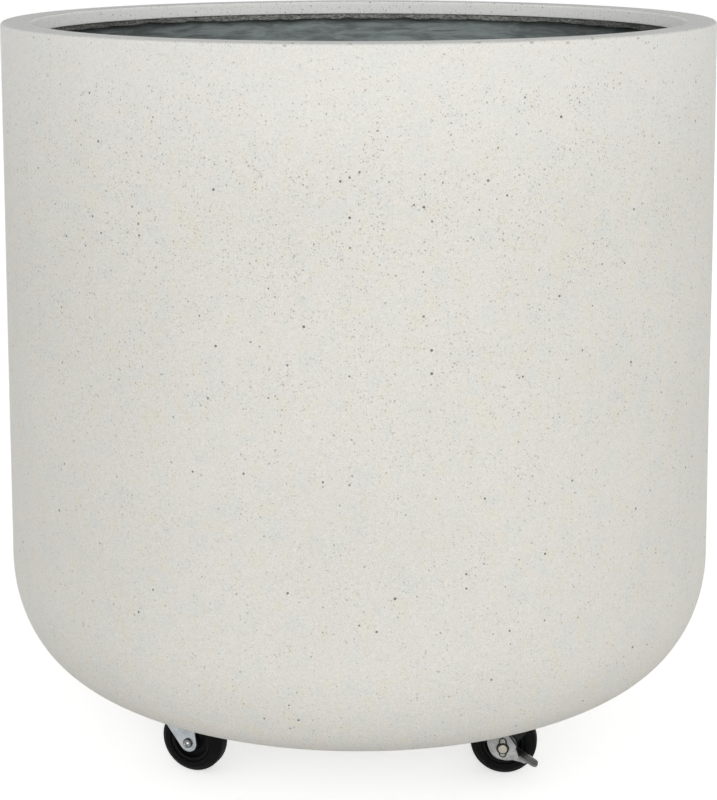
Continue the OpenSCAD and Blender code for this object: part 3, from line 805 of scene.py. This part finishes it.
# In mm from the axle's middle: back against the trail, out along the axle, up or down. The recess lies
# between its pair, the other pairs are soft edges
leverMarks = {
    "recessOut": (15.6, 16.6), "recessR": 10.0,
    "shadowBack": 14.7, "shadowDown": 7.0, "shadowR": 1.35, "shadowSquash": 0.55, "shadowOut": 16.5,
    "pedalOut": (16.95, 17.9), "pedalBack": 10.4, "pedalUp": 1.9,
    "pedalWay": (-0.834, -0.552),                           # from the pedal's root to its tip
    "cornerAway": 13.8, "cornerOut": 21.85, "rimR": (5.3, 5.7),
}


# Light zinc, with painted shade in the key's recess, a painted shadow of the pedal beside its root, painted
# shade and painted reflection darkening the pedal, and painted shade towards its upper end
def leverZinc(name):
    f = Finish(f"leverZinc_{name}")
    m = leverMarks
    u, v, w, r = axleSpace(f, name)
    tint, spangle = zincTint(f, metalLook["lever"], metalLook["leverDark"], metalLook["leverPale"])
    # painted shade: darker towards its upper end, under the pot
    tint = f.mix((w * 0.05 + 0.25).least(0.55).most(0.0), tint, metalLook["leverDark"])
    recess = v.over(m["recessOut"][0]) * v.under(m["recessOut"][1]) * r.under(m["recessR"])
    # painted shadow of the pedal on the plate beside its root
    shadowU, shadowW = (u + m["shadowBack"]) * m["shadowSquash"], w + m["shadowDown"]
    pedalShadow = (m["shadowR"] - (shadowU * shadowU + shadowW * shadowW) ** 0.5).eased(0.0, 0.7) * v.over(m["shadowOut"])
    # painted light: the pedal's sheared edge, which faces the light, is lighter than its shaded top, along
    # the side and round the corner at the tip
    away = (u + m["pedalBack"]) * m["pedalWay"][0] + (w - m["pedalUp"]) * m["pedalWay"][1]
    past, out = (away - m["cornerAway"]).most(0.0), (v - m["cornerOut"]).most(0.0)
    sheared = ((past * past + out * out) ** 0.5).eased(*m["rimR"])
    tint = f.layered(tint, [
        # painted shade in the key's recess
        (recess, 0.97, metalLook["paintedShade"]),
        (pedalShadow, 0.80, metalLook["paintedShade"]),
        # painted shade and painted reflection: the pedal dark, as its top faces the pot's shaded underside
        (v.eased(*m["pedalOut"]), 1.0, metalLook["pedal"]),
        (sheared, 0.9, metalLook["pedalEdge"]),
    ])
    return metalDone(f, tint, spangle, 0.24)


# Zinc with painted shade: a dark foot round the axle's end and dark flanks on its lobes, in the gap round the
# key
def keyZinc(name):
    footR, lobeHalf, topOut = 4.6, 1.75, 16.9
    f = Finish(f"keyZinc_{name}")
    u, v, _, r = axleSpace(f, name)
    tint, spangle = zincTint(f, metalLook["key"], metalLook["leverDark"], metalLook["leverPale"])
    flank = (u.size().over(lobeHalf) + v.under(topOut)).least(1.0)
    # painted shade round the key
    tint = f.mix((r.under(footR) + flank).least(1.0) * 0.85, tint, metalLook["paintedShade"])
    return metalDone(f, tint, spangle, 0.24)


# Zinc sheet with painted shade on the outer face beside the brake, between the lever and the pot
def brakedForkZinc(name):
    legOut, shadeEdge = 11.5, (34.0, 44.0)
    f = Finish(f"forkZinc_{name}")
    _, v, _, r = axleSpace(f, name)
    tint, spangle = zincTint(f, metalLook["zinc"], metalLook["zincDark"], metalLook["zincPale"])
    # painted shade on the leg's outer face round the axle
    shadedLeg = v.over(legOut) * (1 - r.eased(*shadeEdge))
    tint = f.mix(shadedLeg * 0.97, tint, metalLook["forkShade"])
    return metalDone(f, tint, spangle, 0.26)


# radii on the axle's outer end; a pair is a soft edge, and soft is how wide the others' are
axleRings = {"domeEdge": (2.95, 3.5), "rollEdge": (2.75, 3.10), "dimple": 1.75, "dimpleSoft": 0.25,
             "centre": 1.15, "centreSoft": 0.35}


# The axle's outer end: a lighter dome with painted shade round its edge, or a rolled end with a dark edge and
# dimple round a polished centre. Its inner end is plain
def axleSteel(name, brake):
    f = Finish(f"axleSteel_{name}")
    ring = axleRings
    _, v, _, r = axleSpace(f, name)
    marks = f.noise(600.0, 3.0, 0.6)
    if brake:
        tint = f.mix(marks.eased(0.40, 0.75) * 0.5, metalLook["keyEnd"], metalLook["key"])
        # painted shade round the dome's edge
        tint = f.mix(r.eased(*ring["domeEdge"]) * 0.85, tint, metalLook["paintedShade"])
    else:
        tint = f.mix(marks.eased(0.45, 0.75) * 0.4, metalLook["rivet"], metalLook["zincDark"])
        tint = f.mix(r.eased(*ring["rollEdge"]), tint, metalLook["rivetDark"])
        tint = f.mix((ring["dimple"] - r).eased(0.0, ring["dimpleSoft"]), tint, metalLook["rivetDark"])
        tint = f.mix((ring["centre"] - r).eased(0.0, ring["centreSoft"]), tint, metalLook["polished"])
    tint = f.mix(v.over(0.0), metalLook["rivet"], tint)
    return metalDone(f, tint, marks, 0.22, 0.06)


# Turns a section round a caster's axle: the axle's middle, plus radius times cosine along the trail, radius
# times sine upwards, and the distance along the axle
def turnedOnAxle(profile, name, count):
    centre, along, across = axleFrame(name)
    angle = np.arange(count) * 2 * math.pi / count
    up = np.array([0, 0, 1.0])
    ring = np.cos(angle)[:, None] * along + np.sin(angle)[:, None] * up
    return (centre + profile[:, None, :1] * ring[None] + profile[:, None, 1:] * across) * mm


# The tyre: tread, rounded shoulder with a mould line, flat side and bore, and the same mirrored
def makeTyre(name):
    c = caster
    flat = c["tyreHalf"] - c["shoulder"]
    innerR = c["tyreR"] - c["shoulder"]
    side = section(
        line((c["tyreR"], 0), (c["tyreR"], flat), 3),
        arc(innerR, flat, c["shoulder"], c["shoulder"], 0, 38, 9),
        [[22.0, 7.84], [21.75, 8.02], [21.5, 8.38]],        # the mould line
        arc(innerR, flat, c["shoulder"], c["shoulder"], 70, 90, 6),
        line((innerR, c["tyreHalf"]), (c["tyreBore"] + 0.7, c["tyreHalf"]), 3),
        [[c["tyreBore"] + 0.2, c["tyreHalf"] - 0.2], [c["tyreBore"], c["tyreHalf"] - 0.7]],
    )
    profile = np.concatenate([side[::-1], (side * [1, -1])[1:]])
    pieceName = f"tyreRing_{name}"
    mesh = tidied(gridMesh(pieceName, turnedOnAxle(profile, name, c["around"]), True, True), sharp=35)
    slot = "black_rubber"
    addPiece(pieceName, mesh, f"wheel_{name}", finishes[slot], f"tyre_{name}")


# The hub: rim with broken corners, web, and boss with a bore, and the same mirrored
def makeHub(name):
    c = caster
    side = section(
        line((c["hubR"], 0), (c["hubR"], c["hubRimHalf"] - 0.4), 2),
        [[c["hubR"] - 0.4, c["hubRimHalf"]]],
        [[c["hubRimIn"] + 0.4, c["hubRimHalf"]], [c["hubRimIn"], c["hubRimHalf"] - 0.4]],
        line((c["hubRimIn"], c["webHalf"] + 1.2), (c["hubRimIn"] - 1.2, c["webHalf"]), 4),
        line((c["bossR"] + 1.4, c["webHalf"]), (c["bossR"], c["webHalf"] + 1.4), 4),
        [[c["bossR"] - 0.2, c["bossHalf"] - 0.4], [c["bossR"] - 0.6, c["bossHalf"]]],
        [[c["bore"] + 0.3, c["bossHalf"]], [c["bore"], c["bossHalf"] - 0.3]],
    )
    profile = np.concatenate([side[::-1], (side * [1, -1])[1:]])
    pieceName = f"hubDisc_{name}"
    mesh = tidied(gridMesh(pieceName, turnedOnAxle(profile, name, c["around"]), True, True), sharp=35)
    slot = "black_plastic"
    addPiece(pieceName, mesh, f"wheel_{name}", finishes[slot], f"wheel_hub_{name}")


# The axle: its factory head on the inner side, a shank 3 mm in radius, and outside a rolled end with a
# dimple, or a low dome on the key
def makeAxle(name):
    brake = casters[name][3]
    head = section(
        [[0.0, -13.8]], line((0.8, -13.8), (4.0, -13.74), 3), arc(4.0, -13.1, 0.64, 0.64, -90, 0, 5),
        [[4.98, -12.0], [3.0, -12.0]],
    )
    if brake:
        end = section(line((3.0, -11.9), (3.0, 17.05), 3), [[3.58, 17.06], [3.58, 17.5]],
                      arc(2.75, 17.7, 0.80, 0.80, 0, 70, 6), line((2.6, 18.47), (0.0, 18.54), 4))
    else:
        end = section(line((3.0, -11.9), (3.0, 12.0), 3), [[3.78, 12.02], [3.78, 12.5]],
                      arc(3.05, 12.75, 0.72, 0.72, 0, 160, 9), [[2.25, 12.65], [1.9, 12.55], [1.55, 12.6]],
                      arc(0.0, 12.3, 1.35, 0.85, 28, 90, 6))
    profile = np.concatenate([head, end])
    pieceName = f"axlePin_{name}"
    points = turnedOnAxle(profile, name, caster["axleAround"])
    mesh = tidied(gridMesh(pieceName, points, False, True), sharp=40)
    addPiece(pieceName, mesh, f"swivel_{name}", axleSteel(name, brake), f"axle_rivet_{name}")


# part: name of its visible mesh, body that it rides on, width of its rounded edges in mm, and the angle up to
# which triangles are first joined into flat faces. A wider edge would overlap itself at the fork's bends
pressings = {
    "fork": ("bentFork", "swivel", 0.08, 0.0),
    "top_plate": ("pressedPlate", "planter", 0.25, 0.0),
    "brake_lever": ("pressedLever", "brake", 0.25, 0.6),
    "lever_key": ("pressedKey", "brake", 0.20, 0.6),
    "cam_washer": ("camWasher", "swivel", 0.15, 0.0),
}
shearedAngle = 32.0     # degrees from which an edge counts as sheared


# A copy of a pressed or bent piece, welded, with its sheared edges rounded off
def softened(part, name, finish):
    visible, body, width, flat = pressings[part]
    node, pieceName = f"{part}_{name}", f"{visible}_{name}"
    if body != "planter":
        body = f"{body}_{name}"
    mesh = tidied(nodes[node].data.copy(), weld=2e-6, sharp=shearedAngle, outward=False, flat=flat)
    mesh.name = pieceName
    piece = addPiece(pieceName, mesh, body, finish, node)
    bevel = piece.modifiers.new("edges", "BEVEL")
    bevel.width = width * mm
    bevel.segments = 2
    bevel.limit_method = "ANGLE"
    bevel.angle_limit = math.radians(shearedAngle)
    bevel.harden_normals = True
    bevel.use_clamp_overlap = False


for name in casters:
    brake = casters[name][3]
    makeTyre(name)
    makeHub(name)
    makeAxle(name)
    softened("fork", name, brakedForkZinc(name) if brake else finishes["zinc_plate"])
    softened("top_plate", name, finishes["zinc_plate"])
    if brake:
        softened("brake_lever", name, leverZinc(name))
        softened("lever_key", name, keyZinc(name))
        softened("cam_washer", name, plainMetal(f"washerSteel_{name}", metalLook["washer"], 0.28))
print("casters made")
